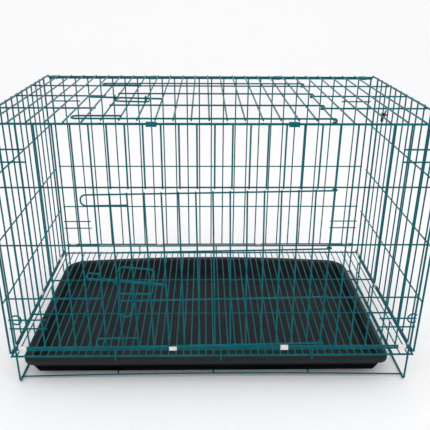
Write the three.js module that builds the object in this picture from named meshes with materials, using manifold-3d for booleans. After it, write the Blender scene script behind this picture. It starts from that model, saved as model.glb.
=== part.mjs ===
// A folding wire dog crate: a raised base with a fine floor grid, four wire panels that fold on crimped
// clips, a lidded top with its own door, a front door, two sliding bolts and a tray.
// Millimetres. +Z is up, -Y is the front, and the model is centred over the middle of its own box.
//
// Every wire is four-sided with its ridges towards its neighbours, so two welded wires meet ridge to ridge.

import * as THREE from 'three';
import { mergeVertices } from 'three/addons/utils/BufferGeometryUtils.js';
import Module from 'manifold-3d';

const wasm = await Module();
wasm.setup();

// ---- Driving dimensions ---------------------------------------------------------------------------

const LENGTH = 910; // between the end wires of the front and back panels
const DEPTH = 536; // between the planes of the front and back panels
const PANEL_HEIGHT = 522; // between the bottom and top wires of the front and back panels
const FLOOR_HEIGHT = 70; // cross wires of the floor grid above the ground
const RAIL_RISE = 22; // hinge rail of a long panel above the floor grid's cross wires
const HINGE_GAP = 0.99; // between a hinge rail and the long panel's bottom wire over it
const SIDE_HINGE_RISE = 8; // bottom wire of a side panel above the floor grid's side rail

const FRAME_WIRE = 4; // diameters
const FILL_WIRE = 3;
const FLOOR_WIRE = 2.6;

const LONG_GAPS = 26; // gaps between the upright wires of a long panel
const SIDE_GAPS = 13; // the same on a side panel
const ROWS = 4; // gaps between the level wires of every panel
const FLOOR_GAPS = 52; // gaps between the front-to-back wires of the floor grid
const FLOOR_BAYS = 3; // gaps between its cross wires

const DOOR_LEFT = 6; // upright wires of a long panel at the sides of a door opening
const DOOR_RIGHT = 20;
const DOOR_ROWS = 3; // rows of the panel that the opening takes

const SIDE_STAND_OFF = 13; // side panel plane outside the end wires of the long panels
const SIDE_SET_BACK = 8; // first and last upright of a side panel inside the long panels' planes
const LID_OVERHANG = 7; // end wires of the lid outside the end wires of the long panels
const LID_RISE = 2; // lid's level wires above the top wires of the long panels
const LID_TUCK = 0.037; // how far the lid's front wire tucks in over the front panel's uprights
const LID_BACK = 10; // lid's back wire, its hinge, behind the back panel
const LID_SHIFT = -11; // lid's inner uprights and door, along its length, from the panels' uprights

const WELD_SINK = 0.35; // how far two crossing wires are pressed into each other
const OVERHANG = 2; // wire left standing past its last weld
const TOUCH_GAP = 0.4; // clearance between pieces that touch
const BEND_STEP = Math.PI / 4; // largest turn between two stations of a bend

const SAG = THREE.MathUtils.degToRad(1); // the front door hangs this much low at its free side
const FRONT_DOOR_ROWS = [14.5, 6, -6, -4.5]; // rows of a door past the panel's own rows
const LID_DOOR_ROWS = [6, -5, -9, -5];
const HAIRPIN_REACH = 24; // stop hairpin past the left side of the opening
const HAIRPIN_DROP = 24; // between the two legs of a stop hairpin
const HAIRPIN_RETURN = 72; // its return leg past the left side of the opening, towards the hinge
const EYE_TURN = 0.8 * Math.PI; // how far a door row's eye goes round the hinge wire past its side

const BOLT_HEIGHT = 193; // bolt above the panel's bottom wire
const BOLT_TIP = 28; // bolt tip past the left side of the opening
const BOLT_END = 3.97; // its other end, in gaps between uprights past the opening's left side
const BOLT_DOUBLING = [35, 3]; // the second shaft wire, from the tip and from the other end
const LID_BOLT_BACK = 5; // how much less far the lid's bolt is pushed in
const BOLT_TILT = THREE.MathUtils.degToRad(7); // its free end hangs lower than its tip
const BOLT_LOOP = [27, 14]; // length and height of the tip loop
const HANDLE = { from: 1.17, to: 3.26, height: 36, bend: 6 }; // U handle, from and to in gaps as above
const RETURN = { drop: 24, slope: Math.tan(THREE.MathUtils.degToRad(5)) }; // its leg bent back under the shaft
const PULL = { from: 1.23, width: 29, height: 88 }; // hanging hairpin, from in gaps as above

const CLIP_LENGTH = 17.5;
const CLIP_WALL = 0.9;
const CORNER_WIRE_REACH = 79; // short corner wires of the long panels
const CORNER_WIRE_NUB = 5; // what they stand past the end wires
const FRONT_CORNERS = { low: [52, 75], high: [77, 51] }; // above the bottom wire and below the top wire
const BACK_CORNERS = { low: [57, 80], high: [86, 65] };
const CURL = { radius: 11.5, inset: { '-1': 12, 1: 3 }, half: 0.75 * Math.PI }; // ring beside each end wire

const TRAY = {
  leftRoom: 6, // between the rim and the end wires' line
  rightRoom: 36,
  front: 7, // behind the front panel's plane
  backCorner: 24, // ahead of the back panel's plane
  backMiddle: 0,
  ride: 0.75, // above the wires it rides on
  height: 36,
  rim: 18,
  lip: 9,
  wall: 2.5,
  frontRadius: 28,
  backRadius: 56,
};
const SUPPORT_INSET = 14; // cross wires under the tray, inside the long panels' planes
const SUPPORT_RISE = 6.3; // their arch
const SUPPORT_SINK = 0.5; // how far their ends are pressed into the ground rails
const SUPPORTS = [-0.25, 0, 0.25]; // tray runners, as shares of the length
const STUBS = [-228, 17, 230]; // short uprights below a hinge rail
const STUB_END = 8; // their lower ends below the floor grid's cross wires
const SHORT_POSTS = [136, 318, DEPTH - 81]; // uprights between ground rail and floor grid, from the front
const FOOT_BEND = 7;

const HOOK_LENGTH = 21;
const HOOK_LIP = 3; // hooks of the lid, past the lid's front wire
const CORD_CLIP = { length: 24, wall: 2, mouth: 0.5, drop: 104, post: 11 };
const PRONG = { size: [32, 3, 6], reach: 13, tilts: [0.5, 0.95] };

// ---- Sizes that follow ----------------------------------------------------------------------------

const SECTION = Math.sqrt(Math.PI / 2); // corner radius of a square of a round wire's area, per radius
const crossing = (a, b) => (a + b) / 2 - WELD_SINK;
const FACE = crossing(FRAME_WIRE, FILL_WIRE); // uprights stand this far outside the level wires
const LID_FRONT = FACE + (SECTION * (FILL_WIRE + FRAME_WIRE)) / 2 - LID_TUCK; // ahead of the front panel
const PITCH = LENGTH / LONG_GAPS;
const ROW = PANEL_HEIGHT / ROWS;
const HALF = LENGTH / 2;
const RAIL_HEIGHT = FLOOR_HEIGHT + RAIL_RISE;
const LONG_HINGE_RISE = SECTION * FRAME_WIRE + HINGE_GAP; // between the two wires' middles
const LONG_HINGE = RAIL_HEIGHT + LONG_HINGE_RISE;
const SIDE_HINGE = FLOOR_HEIGHT + SIDE_HINGE_RISE;
const TOP_HEIGHT = LONG_HINGE + PANEL_HEIGHT;
const SIDE_PLANE = HALF + SIDE_STAND_OFF;
const SIDE_HEIGHT = TOP_HEIGHT + LID_RISE - SIDE_HINGE;
const SIDE_WIDTH = DEPTH - 2 * SIDE_SET_BACK;
const SIDE_PITCH = SIDE_WIDTH / SIDE_GAPS;

const clear = SECTION * FILL_WIRE + TOUCH_GAP; // between the centres of two fill wires that only touch
const DOOR_FACE = FACE + clear; // level wires of a door, outside the panel's level wires
const BOLT_FACE = DOOR_FACE + clear;

const upright = (index) => -HALF + index * PITCH;
const HINGE_X = upright(DOOR_RIGHT);
const LATCH_X = upright(DOOR_LEFT);

// ---- Wires ----------------------------------------------------------------------------------------

/** A wire's centre line through given stations, with the tangent at a bend halfway between its sides. */
class BentWire extends THREE.Curve {
  constructor(stations) {
    super();
    this.stations = stations;
  }

  getPointAt(u, target = new THREE.Vector3()) {
    return target.copy(this.stations[Math.round(u * (this.stations.length - 1))]);
  }

  getTangentAt(u, target = new THREE.Vector3()) {
    const last = this.stations.length - 1;
    const index = Math.round(u * last);
    target.set(0, 0, 0);
    for (const start of [index - 1, index]) {
      if (start < 0 || start >= last) continue;
      target.add(this.stations[start + 1].clone().sub(this.stations[start]).normalize());
    }
    return target.normalize();
  }
}

/** Stations of a wire through corner points, each inner corner rounded to a bend radius. */
function rounded(corners, radius) {
  const points = corners.map((corner) => new THREE.Vector3(...corner));
  const stations = [points[0]];
  for (let i = 1; i < points.length - 1; i++) {
    const into = points[i].clone().sub(points[i - 1]).normalize();
    const out = points[i + 1].clone().sub(points[i]).normalize();
    const turn = into.angleTo(out);
    const side = out.clone().addScaledVector(into, -into.dot(out)).normalize();
    const start = points[i].clone().addScaledVector(into, -radius * Math.tan(turn / 2));
    const steps = Math.ceil(turn / BEND_STEP - 1e-6);
    for (let k = 0; k <= steps; k++) {
      const angle = (turn * k) / steps;
      const along = radius * Math.sin(angle);
      const across = radius * (1 - Math.cos(angle));
      stations.push(start.clone().addScaledVector(into, along).addScaledVector(side, across));
    }
  }
  stations.push(points[points.length - 1]);
  return stations;
}

/** Stations of an arc about a centre, in the plane of two unit directions. */
function arc(centre, u, v, radius, from, to, steps) {
  const stations = [];
  for (let k = 0; k <= steps; k++) {
    const angle = from + ((to - from) * k) / steps;
    const point = new THREE.Vector3(...centre);
    point.addScaledVector(new THREE.Vector3(...u), radius * Math.cos(angle));
    stations.push(point.addScaledVector(new THREE.Vector3(...v), radius * Math.sin(angle)));
  }
  return stations;
}

/** A closed three.js geometry as a solid. */
function solid(geometry) {
  geometry.deleteAttribute('normal');
  geometry.deleteAttribute('uv');
  const welded = mergeVertices(geometry);
  const vertProperties = new Float32Array(welded.attributes.position.array);
  const triVerts = new Uint32Array(welded.index.array);
  return new wasm.Manifold(new wasm.Mesh({ numProp: 3, vertProperties, triVerts }));
}

/** A solid as a three.js geometry. */
function surface(body) {
  const { vertProperties, triVerts } = body.getMesh();
  const geometry = new THREE.BufferGeometry();
  geometry.setAttribute('position', new THREE.BufferAttribute(new Float32Array(vertProperties), 3));
  geometry.setIndex(new THREE.BufferAttribute(new Uint32Array(triVerts), 1));
  geometry.computeVertexNormals();
  return geometry;
}

/** Joins any number of solids, two by two. */
function weld(bodies) {
  let joined = bodies;
  while (joined.length > 1) {
    const next = [];
    for (let i = 0; i < joined.length; i += 2) {
      next.push(i + 1 < joined.length ? joined[i].add(joined[i + 1]) : joined[i]);
    }
    joined = next;
  }
  return joined[0];
}

/** A bent wire. */
function bent(stations, diameter = FILL_WIRE) {
  const reach = (SECTION * diameter) / 2;
  const section = new THREE.Shape();
  section.moveTo(reach, 0);
  section.lineTo(0, reach);
  section.lineTo(-reach, 0);
  section.lineTo(0, -reach);
  const extrudePath = new BentWire(stations);
  return solid(new THREE.ExtrudeGeometry(section, { steps: stations.length - 1, extrudePath }));
}

/** A straight wire from one point to another. */
function straight(from, to, diameter = FILL_WIRE) {
  return bent([new THREE.Vector3(...from), new THREE.Vector3(...to)], diameter);
}

// Panels are drawn flat: x along the panel, y up it and z out of it. level() is a wire in the panel's
// own plane and rise() one on its outer face.
const level = (y, from, to, diameter = FILL_WIRE, z = 0) => straight([from, y, z], [to, y, z], diameter);
const rise = (x, from, to, diameter = FILL_WIRE, z = FACE) => straight([x, from, z], [x, to, z], diameter);

const range = (count) => Array.from({ length: count }, (_, index) => index);

// ---- Long panels, lid and side panels -------------------------------------------------------------

/** Level wires at given heights, cut where the door opening crosses them. */
function rowsWithOpening(heights, reach, isCut, shift = 0) {
  const wires = [];
  heights.forEach((y, row) => {
    const diameter = row === 0 || row === heights.length - 1 ? FRAME_WIRE : FILL_WIRE;
    if (isCut(row)) {
      wires.push(level(y, -reach, LATCH_X + shift + OVERHANG, diameter));
      wires.push(level(y, HINGE_X + shift - OVERHANG, reach, diameter));
    } else {
      wires.push(level(y, -reach, reach, diameter));
    }
  });
  return wires;
}

/** Upright wires of a long panel, the ones over a door opening starting at its upper edge. */
function uprights(bottom, top, openingTop, endX, shift = 0) {
  return range(LONG_GAPS + 1).map((index) => {
    const isEnd = index === 0 || index === LONG_GAPS;
    const inOpening = index > DOOR_LEFT && index < DOOR_RIGHT;
    const x = isEnd ? Math.sign(upright(index)) * endX : upright(index) + shift;
    return rise(x, inOpening ? openingTop : bottom, top, isEnd ? FRAME_WIRE : FILL_WIRE);
  });
}

/** Short wires that stiffen a long panel's corners. */
function cornerWires({ low, high }) {
  const wires = [];
  for (const side of [-1, 1]) {
    for (const y of [...low, ...high.map((drop) => PANEL_HEIGHT - drop)]) {
      wires.push(level(y, side * (HALF - CORNER_WIRE_REACH), side * (HALF + CORNER_WIRE_NUB)));
    }
  }
  return wires;
}

/** A ring on a corner wire beside the end wire, open on its outer side. */
function curl(side, y) {
  const centre = [side * (HALF - CURL.inset[side]), y, 0];
  return bent(arc(centre, [-side, 0, 0], [0, 1, 0], CURL.radius, -CURL.half, CURL.half, 10));
}

function frontPanel() {
  const heights = range(ROWS + 1).map((row) => row * ROW);
  const reach = HALF + OVERHANG;
  const rows = rowsWithOpening(heights, reach, (row) => row > 0 && row < DOOR_ROWS);
  const posts = uprights(-OVERHANG, PANEL_HEIGHT + 1, DOOR_ROWS * ROW - OVERHANG, HALF);
  const curls = [-1, 1].map((side) => curl(side, FRONT_CORNERS.low[1]));
  return weld([...rows, ...posts, ...cornerWires(FRONT_CORNERS), ...curls]);
}

function backPanel() {
  const rows = range(ROWS + 1).map((row) => {
    const diameter = row % ROWS === 0 ? FRAME_WIRE : FILL_WIRE;
    return level(row * ROW, -HALF - OVERHANG, HALF + OVERHANG, diameter);
  });
  const posts = uprights(-OVERHANG, PANEL_HEIGHT + 1, -OVERHANG, HALF);
  return weld([...rows, ...posts, ...cornerWires(BACK_CORNERS)]);
}

/** The lid, drawn with y from the front panel's plane. */
function lid() {
  const quarter = DEPTH / ROWS;
  const heights = [-LID_FRONT, quarter, 2 * quarter, 3 * quarter, DEPTH + LID_BACK];
  const endX = HALF + LID_OVERHANG;
  const isCut = (row) => row > 0 && row < DOOR_ROWS;
  const rows = rowsWithOpening(heights, endX + OVERHANG / 2, isCut, LID_SHIFT);
  const back = DEPTH + LID_BACK + 1;
  const posts = uprights(-LID_FRONT - 1, back, DOOR_ROWS * quarter - OVERHANG, endX, LID_SHIFT);
  return weld([...rows, ...posts]);
}

function sidePanel() {
  const rows = range(ROWS + 1).map((row) => {
    const diameter = row % ROWS === 0 ? FRAME_WIRE : FILL_WIRE;
    const reach = SIDE_WIDTH / 2 + OVERHANG;
    return level((row * SIDE_HEIGHT) / ROWS, -reach, reach, diameter);
  });
  const posts = range(SIDE_GAPS + 1).map((index) => {
    const diameter = index % SIDE_GAPS === 0 ? FRAME_WIRE : FILL_WIRE;
    return rise(-SIDE_WIDTH / 2 + index * SIDE_PITCH, -OVERHANG, SIDE_HEIGHT + OVERHANG, diameter);
  });
  return weld([...rows, ...posts]);
}

// ---- Doors and bolts ------------------------------------------------------------------------------

/** Stations of a row's right end: past the hinge upright and three quarters of the way round it. */
function eye(x, y) {
  return arc([x, y, FACE], [1, 0, 0], [0, 0, 1], clear, Math.PI / 2, -EYE_TURN, 6);
}

/** A staple on a door upright that holds a bolt. */
function staple(x, y) {
  const inner = DOOR_FACE - crossing(FILL_WIRE, FILL_WIRE);
  const outer = BOLT_FACE + clear;
  const slant = SECTION * FILL_WIRE * Math.tan(BOLT_TILT);
  const half = clear + crossing(FILL_WIRE, FILL_WIRE) + slant;
  const corners = [[x, y + half, inner], [x, y + half, outer], [x, y - half, outer], [x, y - half, inner]];
  return bent(rounded(corners, 2));
}

/** A door in the panel's flat frame. A sagging door is turned about the middle of its hinge. */
function door(sag, row, past) {
  const heights = past.map((shift, index) => index * row + shift);
  const middle = (heights[0] + heights[3]) / 2;
  const left = upright(DOOR_LEFT + 1);
  const tip = LATCH_X - HAIRPIN_REACH;
  const end = LATCH_X + HAIRPIN_RETURN;
  const wires = heights.map((y, index) => {
    const hingeX = HINGE_X + (y - middle) * Math.tan(sag);
    const inward = index === 0 ? HAIRPIN_DROP : -HAIRPIN_DROP;
    const hairpin = [[end, y + inward], [tip, y + inward], [tip, y]];
    const start = index % DOOR_ROWS === 0 ? hairpin : [[left - OVERHANG, y]];
    const corners = [...start, [hingeX, y]].map(([x, height]) => [x, height, DOOR_FACE]);
    const stations = rounded(corners, HAIRPIN_DROP / 2 - 1);
    stations.pop();
    return bent([...stations, ...eye(hingeX, y)]);
  });
  const faceInside = DOOR_FACE - crossing(FILL_WIRE, FILL_WIRE);
  for (let index = DOOR_LEFT + 1; index < DOOR_RIGHT; index++) {
    const [bottom, top] = [heights[0] - OVERHANG, heights[3] + OVERHANG];
    wires.push(rise(upright(index), bottom, top, FILL_WIRE, faceInside));
  }
  for (const index of [DOOR_LEFT + 1, DOOR_LEFT + 3]) {
    wires.push(staple(upright(index), boltLine(upright(index))));
  }
  return { body: weld(wires), pivot: [HINGE_X, middle, 0] };
}

/** Height of the bolt's centre line above the panel's bottom wire. */
function boltLine(x) {
  return BOLT_HEIGHT - (x - LATCH_X) * Math.tan(BOLT_TILT);
}

/**
 * A bolt with its tip at the origin and its shaft along +x, its handle to one side. The front one has a
 * hanging pull, and its handle's wire runs on past the shaft and back under it.
 */
function bolt(handleSide, hasPull) {
  const [loopLength, loopHeight] = BOLT_LOOP;
  const doubled = crossing(FILL_WIRE, FILL_WIRE);
  const [length, handleStart, handleEnd, pullStart] = [BOLT_END, HANDLE.from, HANDLE.to, PULL.from].map(
    (gaps) => BOLT_TIP + gaps * PITCH,
  );
  const shaft = rounded(
    [[loopLength, loopHeight, 0], [0, loopHeight, 0], [0, 0, 0], [length, 0, 0]],
    loopHeight / 2 - 1,
  );
  const returned = [
    [handleEnd, -RETURN.drop, 0],
    [pullStart, -RETURN.drop - (handleEnd - pullStart) * RETURN.slope, 0],
  ];
  const handle = rounded(
    [
      [handleStart, 0, 0],
      [handleStart, handleSide * HANDLE.height, 0],
      [handleEnd, handleSide * HANDLE.height, 0],
      ...(hasPull ? returned : [[handleEnd, 0, 0]]),
    ],
    HANDLE.bend,
  );
  const pull = rounded(
    [
      [pullStart, 0, 0],
      [pullStart, -PULL.height, 0],
      [pullStart + PULL.width, -PULL.height, 0],
      [pullStart + PULL.width, 0, 0],
    ],
    PULL.width / 2 - 1,
  );
  const second = straight([BOLT_DOUBLING[0], doubled, 0], [length - BOLT_DOUBLING[1], doubled, 0]);
  return weld([bent(shaft), second, bent(handle), ...(hasPull ? [bent(pull)] : [])]);
}

// ---- Base -----------------------------------------------------------------------------------------

/** Ground rail and its two posts, one flat-sided wire from hinge rail to hinge rail. */
function footFrame(x) {
  const side = (FRAME_WIRE * Math.sqrt(Math.PI)) / 2;
  const section = new THREE.Shape();
  section.moveTo(side / 2, side / 2);
  section.lineTo(-side / 2, side / 2);
  section.lineTo(-side / 2, -side / 2);
  section.lineTo(side / 2, -side / 2);
  const low = side / 2;
  const corners = [[x, 0, RAIL_HEIGHT], [x, 0, low], [x, DEPTH, low], [x, DEPTH, RAIL_HEIGHT]];
  const stations = rounded(corners, FOOT_BEND);
  const extrudePath = new BentWire(stations);
  return solid(new THREE.ExtrudeGeometry(section, { steps: stations.length - 1, extrudePath }));
}

/** Height of a cross wire under the tray, which arches up towards the middle. */
function archHeight(x) {
  const atRail = (FRAME_WIRE * Math.sqrt(Math.PI)) / 2 + (SECTION * FILL_WIRE) / 2 - SUPPORT_SINK;
  return atRail + SUPPORT_RISE * (1 - (x / HALF) ** 2);
}

function baseFrame() {
  const wires = [footFrame(-HALF), footFrame(HALF)];
  const crossY = [SUPPORT_INSET, DEPTH - SUPPORT_INSET];
  for (const y of [0, DEPTH]) {
    wires.push(straight([-HALF - OVERHANG, y, RAIL_HEIGHT], [HALF + OVERHANG, y, RAIL_HEIGHT], FRAME_WIRE));
    for (const x of STUBS) {
      wires.push(straight([x, y, FLOOR_HEIGHT - STUB_END], [x, y, RAIL_HEIGHT]));
    }
  }
  for (const y of crossY) {
    const arch = range(9).map((step) => -HALF - OVERHANG + ((LENGTH + 2 * OVERHANG) * step) / 8);
    wires.push(bent(arch.map((x) => new THREE.Vector3(x, y, archHeight(x)))));
  }
  for (const share of SUPPORTS) {
    const x = share * LENGTH;
    const z = archHeight(x) + crossing(FILL_WIRE, FILL_WIRE);
    wires.push(straight([x, crossY[0] - OVERHANG, z], [x, crossY[1] + OVERHANG, z]));
  }
  const underFloor = FLOOR_HEIGHT + crossing(FRAME_WIRE, FLOOR_WIRE) - (SECTION * FLOOR_WIRE) / 2 - TOUCH_GAP;
  for (const x of [-HALF, HALF]) {
    for (const y of SHORT_POSTS) {
      wires.push(straight([x, y, FRAME_WIRE / 2], [x, y, underFloor]));
    }
  }
  return weld(wires);
}

/** The fine floor grid with the side rails that carry the side panels. */
function floorGrid() {
  const inset = (SECTION * FRAME_WIRE) / 2 + FRAME_WIRE / 2 + TOUCH_GAP;
  const length = DEPTH - 2 * inset;
  const top = FLOOR_HEIGHT + crossing(FRAME_WIRE, FLOOR_WIRE);
  const wires = [];
  for (const row of range(FLOOR_BAYS + 1)) {
    const y = inset + (length * row) / FLOOR_BAYS;
    wires.push(straight([-SIDE_PLANE, y, FLOOR_HEIGHT], [SIDE_PLANE, y, FLOOR_HEIGHT], FRAME_WIRE));
  }
  for (const index of range(FLOOR_GAPS + 1)) {
    const x = -HALF + (LENGTH * index) / FLOOR_GAPS;
    wires.push(straight([x, inset - OVERHANG, top], [x, DEPTH - inset + OVERHANG, top], FLOOR_WIRE));
  }
  for (const x of [-SIDE_PLANE, SIDE_PLANE]) {
    const ends = [inset - OVERHANG, DEPTH - inset + OVERHANG];
    wires.push(straight([x, ends[0], FLOOR_HEIGHT], [x, ends[1], FLOOR_HEIGHT], FRAME_WIRE));
  }
  return weld(wires);
}

// ---- Clips ----------------------------------------------------------------------------------------

/** Half circles round two wires, joined by straight sides: the section of a crimped sleeve. */
function sleeveOutline(path, radius, spacing) {
  path.absarc(spacing, 0, radius, -Math.PI / 2, Math.PI / 2, false);
  path.absarc(0, 0, radius, Math.PI / 2, (3 * Math.PI) / 2, false);
  return path;
}

/** A crimped sleeve round two frame wires, extruded along +z; the second wire lies along +x. */
function sleeve(spacing) {
  const inner = ((SECTION * FRAME_WIRE) / 2 + TOUCH_GAP) / Math.cos(Math.PI / 8);
  const section = sleeveOutline(new THREE.Shape(), inner + CLIP_WALL, spacing);
  section.holes.push(sleeveOutline(new THREE.Path(), inner, spacing));
  const options = { depth: CLIP_LENGTH, bevelEnabled: false, curveSegments: 4 };
  const geometry = new THREE.ExtrudeGeometry(section, options);
  return geometry.translate(0, 0, -CLIP_LENGTH / 2);
}

/** Middle of a clip in a gap between uprights, leaning -1, 0 or 1 towards the next upright. */
function clipPlace(gap, lean, first, pitch, length = CLIP_LENGTH) {
  const slack = (pitch - SECTION * FILL_WIRE - length) / 2 - 2 * TOUCH_GAP;
  return first + (gap + 0.5) * pitch + lean * slack;
}

const FRONT_CLIPS = [[0, 0], [10, -1], [17, 1], [25, 0]];
const BACK_CLIPS = [[0, 0], [8, -1], [17, -1], [25, -1]];
const LEFT_CLIPS = [[0, 0], [6, 0], [11, 1]];
const RIGHT_CLIPS = [[0, 0], [7, 0], [12, -1]];
const LID_BACK_CLIPS = [0, 8, 18, 25];
const LID_FRONT_CLIPS = [[9, 0], [17, -1]];

/** A hook folded from strip: round the lid's front wire, with a lip in front of the panel's top wire. */
function frontHook() {
  const around = (SECTION * FRAME_WIRE) / 2 + TOUCH_GAP;
  const outer = around + CLIP_WALL;
  const lipDepth = LID_RISE + HOOK_LIP;
  const section = new THREE.Shape();
  section.moveTo(-outer, outer);
  section.lineTo(-outer, -lipDepth);
  section.lineTo(-around, -lipDepth);
  section.lineTo(-around, around);
  section.lineTo(LID_FRONT - around, around);
  section.lineTo(LID_FRONT - around, outer);
  const geometry = new THREE.ExtrudeGeometry(section, { depth: HOOK_LENGTH, bevelEnabled: false });
  return geometry.translate(0, 0, -HOOK_LENGTH / 2);
}

/** The small sprung clip left on a side panel upright: a C round the wire with two flat prongs. */
function cordClip() {
  const inner = (SECTION * FILL_WIRE) / 2 + TOUCH_GAP;
  const outer = inner + CORD_CLIP.wall;
  const section = new THREE.Shape();
  const from = Math.PI / 2 + CORD_CLIP.mouth;
  const to = (5 * Math.PI) / 2 - CORD_CLIP.mouth;
  section.absarc(0, 0, outer, from, to, false);
  section.absarc(0, 0, inner, to, from, true);
  const options = { depth: CORD_CLIP.length, bevelEnabled: false, curveSegments: 5 };
  const ring = new THREE.ExtrudeGeometry(section, options);
  const prongs = PRONG.tilts.map((tilt) => {
    const prong = new THREE.BoxGeometry(...PRONG.size).translate(-PRONG.reach, 0, 0).rotateY(tilt);
    return solid(prong.translate(0, PRONG.size[1] / 4 - outer, CORD_CLIP.length / 2));
  });
  return weld([solid(ring), ...prongs]);
}

// ---- Tray -----------------------------------------------------------------------------------------

/** Plan outline of the tray, drawn in from its rim by a margin, with a bowed back edge. */
function trayOutline(margin) {
  const left = -HALF + TRAY.leftRoom + margin;
  const right = HALF - TRAY.rightRoom - margin;
  const front = TRAY.front + margin;
  const corner = DEPTH - TRAY.backCorner - margin;
  const bow = 2 * (DEPTH - TRAY.backMiddle - margin) - corner;
  const small = TRAY.frontRadius - margin / 2;
  const large = TRAY.backRadius - margin / 2;
  const outline = new THREE.Shape();
  outline.moveTo(left + small, front);
  outline.lineTo(right - small, front);
  outline.quadraticCurveTo(right, front, right, front + small);
  outline.lineTo(right, corner - large);
  outline.quadraticCurveTo(right, corner, right - large, corner);
  outline.quadraticCurveTo((left + right) / 2, bow, left + large, corner);
  outline.quadraticCurveTo(left, corner, left, corner - large);
  outline.lineTo(left, front + small);
  outline.quadraticCurveTo(left, front, left + small, front);
  return outline;
}

/** A slab of the tray's outline between two heights. */
function traySlab(margin, from, to) {
  const options = { depth: to - from, bevelEnabled: false, curveSegments: 5 };
  return solid(new THREE.ExtrudeGeometry(trayOutline(margin), options).translate(0, 0, from));
}

function tray() {
  const bottom = archHeight(0) + crossing(FILL_WIRE, FILL_WIRE) + (SECTION * FILL_WIRE) / 2 + TRAY.ride;
  const top = bottom + TRAY.height;
  const rim = traySlab(0, top - TRAY.lip, top);
  const underRim = traySlab(TRAY.wall, top - TRAY.lip - 1, top - TRAY.wall);
  const tub = traySlab(TRAY.rim, bottom, top);
  const hollow = traySlab(TRAY.rim + TRAY.wall, bottom + TRAY.wall, top + 1);
  return rim.subtract(underRim).add(tub).subtract(hollow);
}

// ---- Assembly -------------------------------------------------------------------------------------

const paint = { color: 0x17606c, roughness: 0.42, metalness: 0.25 };
const steel = { color: 0xc4c6c8, roughness: 0.32, metalness: 0.9 };
const plastic = { color: 0x23272a, roughness: 0.6, metalness: 0 };

function named(name, geometry, finish) {
  const mesh = new THREE.Mesh(geometry, new THREE.MeshStandardMaterial(finish));
  mesh.name = name;
  return mesh;
}

const crate = new THREE.Group();
const middleY = -DEPTH / 2;

/** A group in which flat panel drawings stand up: y up, z outward. */
function standing(x, y, z, turn) {
  const group = new THREE.Group();
  group.position.set(x, y, z);
  group.rotation.set(Math.PI / 2, turn, 0);
  crate.add(group);
  return group;
}

// Fixed base
const base = new THREE.Group();
base.position.y = middleY;
base.add(named('base_frame', surface(baseFrame()), paint));
base.add(named('floor_grid', surface(floorGrid()), paint));
crate.add(base);

const trayMesh = named('tray', surface(tray()), plastic);
trayMesh.position.y = middleY;
crate.add(trayMesh);

// Long panels
const front = standing(0, middleY, LONG_HINGE, 0);
front.add(named('front_panel', surface(frontPanel()), paint));
const back = standing(0, -middleY, LONG_HINGE, Math.PI);
back.add(named('back_panel', surface(backPanel()), paint));

// Lid
const top = new THREE.Group();
top.position.set(0, middleY, TOP_HEIGHT + LID_RISE);
top.add(named('top_panel', surface(lid()), paint));
crate.add(top);

// Side panels
const left = standing(-SIDE_PLANE, 0, SIDE_HINGE, -Math.PI / 2);
left.add(named('left_side_panel', surface(sidePanel()), paint));
const right = standing(SIDE_PLANE, 0, SIDE_HINGE, Math.PI / 2);
right.add(named('right_side_panel', surface(sidePanel()), paint));

/** A door and its bolt on a panel's flat frame. */
function addDoor(parent, name, { body, pivot }, sag, shift, boltBody, boltX) {
  const hung = new THREE.Group();
  hung.position.set(pivot[0] + shift, pivot[1], 0);
  hung.rotation.z = sag;
  const mesh = named(`${name}_door`, surface(body), paint);
  mesh.position.set(-pivot[0], -pivot[1], 0);
  hung.add(mesh);
  const boltMesh = named(`${name}_door_bolt`, surface(boltBody), paint);
  boltMesh.position.set(boltX - pivot[0], boltLine(boltX) - pivot[1], BOLT_FACE);
  boltMesh.rotation.z = -BOLT_TILT;
  hung.add(boltMesh);
  parent.add(hung);
}
const frontDoor = door(SAG, ROW, FRONT_DOOR_ROWS);
const lidDoor = door(0, DEPTH / ROWS, LID_DOOR_ROWS);
addDoor(front, 'front', frontDoor, SAG, 0, bolt(1, true), LATCH_X - BOLT_TIP);
addDoor(top, 'top', lidDoor, 0, LID_SHIFT, bolt(-1, false), LATCH_X - BOLT_TIP + LID_BOLT_BACK);

// Crimped clips of the long panels: round the hinge rail and the panel's bottom wire
for (const [name, list, y] of [['front', FRONT_CLIPS, middleY], ['back', BACK_CLIPS, -middleY]]) {
  list.forEach(([gap, lean], index) => {
    const clip = named(`${name}_hinge_clip_${index + 1}`, sleeve(LONG_HINGE_RISE), steel);
    clip.position.set(clipPlace(gap, lean, -HALF, PITCH), y, RAIL_HEIGHT);
    clip.rotation.y = -Math.PI / 2;
    crate.add(clip);
  });
}

// Crimped clips of the side panels
const firstSide = middleY + SIDE_SET_BACK;
for (const [name, list, x] of [['left', LEFT_CLIPS, -SIDE_PLANE], ['right', RIGHT_CLIPS, SIDE_PLANE]]) {
  list.forEach(([gap, lean], index) => {
    const clip = named(`${name}_hinge_clip_${index + 1}`, sleeve(SIDE_HINGE_RISE), steel);
    clip.position.set(x, clipPlace(gap, lean, firstSide, SIDE_PITCH), FLOOR_HEIGHT);
    clip.rotation.set(0, -Math.PI / 2, Math.PI / 2, 'ZYX');
    crate.add(clip);
  });
}

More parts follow.
